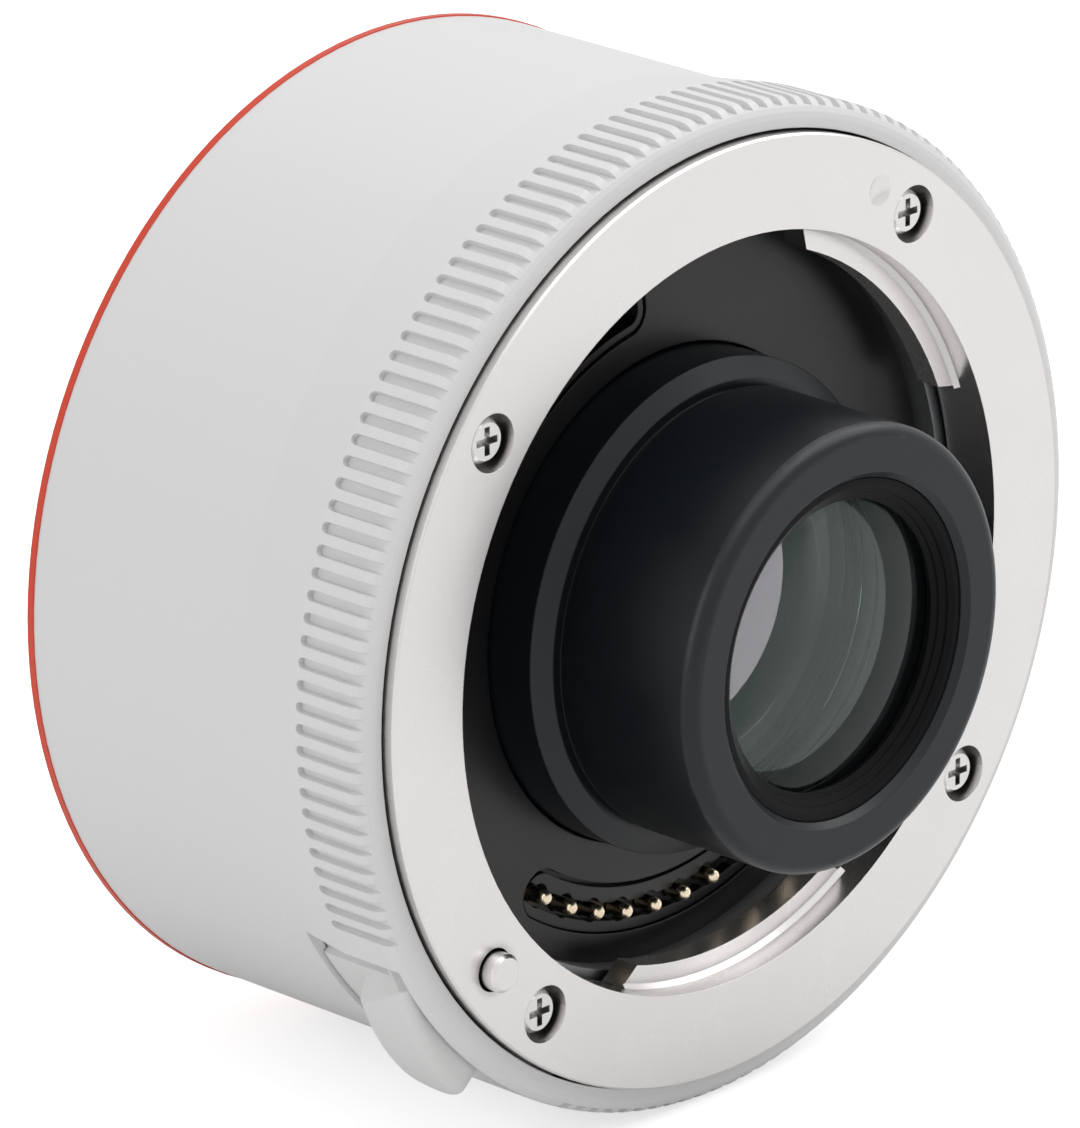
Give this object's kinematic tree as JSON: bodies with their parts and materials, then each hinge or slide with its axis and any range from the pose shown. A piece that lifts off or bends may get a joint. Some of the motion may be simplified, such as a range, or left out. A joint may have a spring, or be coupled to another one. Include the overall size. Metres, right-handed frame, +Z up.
{
  "type": "camera teleconverter",
  "caption": "Off-white camera teleconverter: ribbed grip band, steel bayonet with lock pin and release lever, black nose barrel in front and a bayonet tube behind.",
  "frame": {"origin": "centre of the camera-side flange, on the optical axis", "axes": "+Y along the optical axis towards the camera, -Y towards the lens that goes on, +Z up as the teleconverter sits on a camera, +X to the right looking along +Y"},
  "size_m": [0.0612, 0.043, 0.0612],
  "materials": {
    "barrel_paint": "fine matt off-white paint",
    "red_trim": "satin orange-red paint",
    "mount_steel": "satin plated",
    "screw_steel": "bright",
    "spring_steel": "plain",
    "frame_alloy": "black anodised",
    "black_plastic": "fine matt",
    "black_paint": "matt black",
    "contact_gold": "gilded",
    "board_laminate": "satin",
    "cable_film": "satin",
    "lever_plastic": "fine matt",
    "coated_glass": "polished and coated"
  },
  "bodies": {
    "body": {"outer_barrel": "barrel_paint", "rear_trim_ring": "red_trim", "front_mount_ring": "mount_steel", "front_mount_screws": "screw_steel", "bayonet_spring": "spring_steel", "lock_pin_spring": "spring_steel", "lever_return_spring": "spring_steel", "main_frame": "frame_alloy", "front_light_baffle": "black_plastic", "front_contact_block": "black_plastic", "contact_pin_springs": "contact_gold", "front_contact_board": "board_laminate", "glass_group_1": "coated_glass", "glass_group_2": "coated_glass", "glass_group_3": "coated_glass", "glass_group_4": "coated_glass", "glass_group_5": "coated_glass", "front_spacer": "black_paint", "rear_spacer": "black_paint", "nose_barrel": "black_paint", "front_retaining_ring": "black_paint", "lens_cell": "black_paint", "rear_retaining_ring": "black_paint", "cell_screws": "screw_steel", "rear_mount": "mount_steel", "rear_mount_screws": "screw_steel", "rear_light_baffle": "black_plastic", "rear_contact_block": "black_plastic", "rear_contact_pads": "contact_gold", "main_circuit_board": "board_laminate", "board_screws": "screw_steel", "flex_cable": "cable_film"},
    "lever": {"release_lever": "lever_plastic", "lever_cam_plate": "spring_steel", "lever_screws": "screw_steel"},
    "lock_pin_body": {"lock_pin": "mount_steel"},
    "contact_01": {"contact_pin_01": "contact_gold"},
    "contact_02": {"contact_pin_02": "contact_gold"},
    "contact_03": {"contact_pin_03": "contact_gold"},
    "contact_04": {"contact_pin_04": "contact_gold"},
    "contact_05": {"contact_pin_05": "contact_gold"},
    "contact_06": {"contact_pin_06": "contact_gold"},
    "contact_07": {"contact_pin_07": "contact_gold"},
    "contact_08": {"contact_pin_08": "contact_gold"},
    "contact_09": {"contact_pin_09": "contact_gold"},
    "contact_10": {"contact_pin_10": "contact_gold"}
  },
  "joints": [
    {"name": "lever_turn", "type": "hinge", "parent": "body", "child": "lever", "pos_m": [0, 0, 0], "axis": [0, 1, 0], "range_deg": [0, 3.5], "stiffness_Nm_per_rad": 1, "springref_deg": -1.72, "deforming": ["lever_return_spring"]},
    {"name": "lock_pin_slide", "type": "slide", "parent": "body", "child": "lock_pin_body", "axis": [0, 1, 0], "range_m": [0, 0.0014], "deforming": ["lock_pin_spring"]},
    {"name": "contact_01_slide", "type": "slide", "parent": "body", "child": "contact_01", "axis": [0, 1, 0], "range_m": [0, 0.0008], "stiffness_N_per_m": 300, "springref_m": -0.0005, "deforming": ["contact_pin_springs"]},
    {"name": "contact_02_slide", "type": "slide", "parent": "body", "child": "contact_02", "axis": [0, 1, 0], "range_m": [0, 0.0008], "stiffness_N_per_m": 300, "springref_m": -0.0005, "deforming": ["contact_pin_springs"]},
    {"name": "contact_03_slide", "type": "slide", "parent": "body", "child": "contact_03", "axis": [0, 1, 0], "range_m": [0, 0.0008], "stiffness_N_per_m": 300, "springref_m": -0.0005, "deforming": ["contact_pin_springs"]},
    {"name": "contact_04_slide", "type": "slide", "parent": "body", "child": "contact_04", "axis": [0, 1, 0], "range_m": [0, 0.0008], "stiffness_N_per_m": 300, "springref_m": -0.0005, "deforming": ["contact_pin_springs"]},
    {"name": "contact_05_slide", "type": "slide", "parent": "body", "child": "contact_05", "axis": [0, 1, 0], "range_m": [0, 0.0008], "stiffness_N_per_m": 300, "springref_m": -0.0005, "deforming": ["contact_pin_springs"]},
    {"name": "contact_06_slide", "type": "slide", "parent": "body", "child": "contact_06", "axis": [0, 1, 0], "range_m": [0, 0.0008], "stiffness_N_per_m": 300, "springref_m": -0.0005, "deforming": ["contact_pin_springs"]},
    {"name": "contact_07_slide", "type": "slide", "parent": "body", "child": "contact_07", "axis": [0, 1, 0], "range_m": [0, 0.0008], "stiffness_N_per_m": 300, "springref_m": -0.0005, "deforming": ["contact_pin_springs"]},
    {"name": "contact_08_slide", "type": "slide", "parent": "body", "child": "contact_08", "axis": [0, 1, 0], "range_m": [0, 0.0008], "stiffness_N_per_m": 300, "springref_m": -0.0005, "deforming": ["contact_pin_springs"]},
    {"name": "contact_09_slide", "type": "slide", "parent": "body", "child": "contact_09", "axis": [0, 1, 0], "range_m": [0, 0.0008], "stiffness_N_per_m": 300, "springref_m": -0.0005, "deforming": ["contact_pin_springs"]},
    {"name": "contact_10_slide", "type": "slide", "parent": "body", "child": "contact_10", "axis": [0, 1, 0], "range_m": [0, 0.0008], "stiffness_N_per_m": 300, "springref_m": -0.0005, "deforming": ["contact_pin_springs"]}
  ],
  "couplings": [
    {"joint": "lock_pin_slide", "follows": "lever_turn", "m_per_rad": 0.02291}
  ]
}
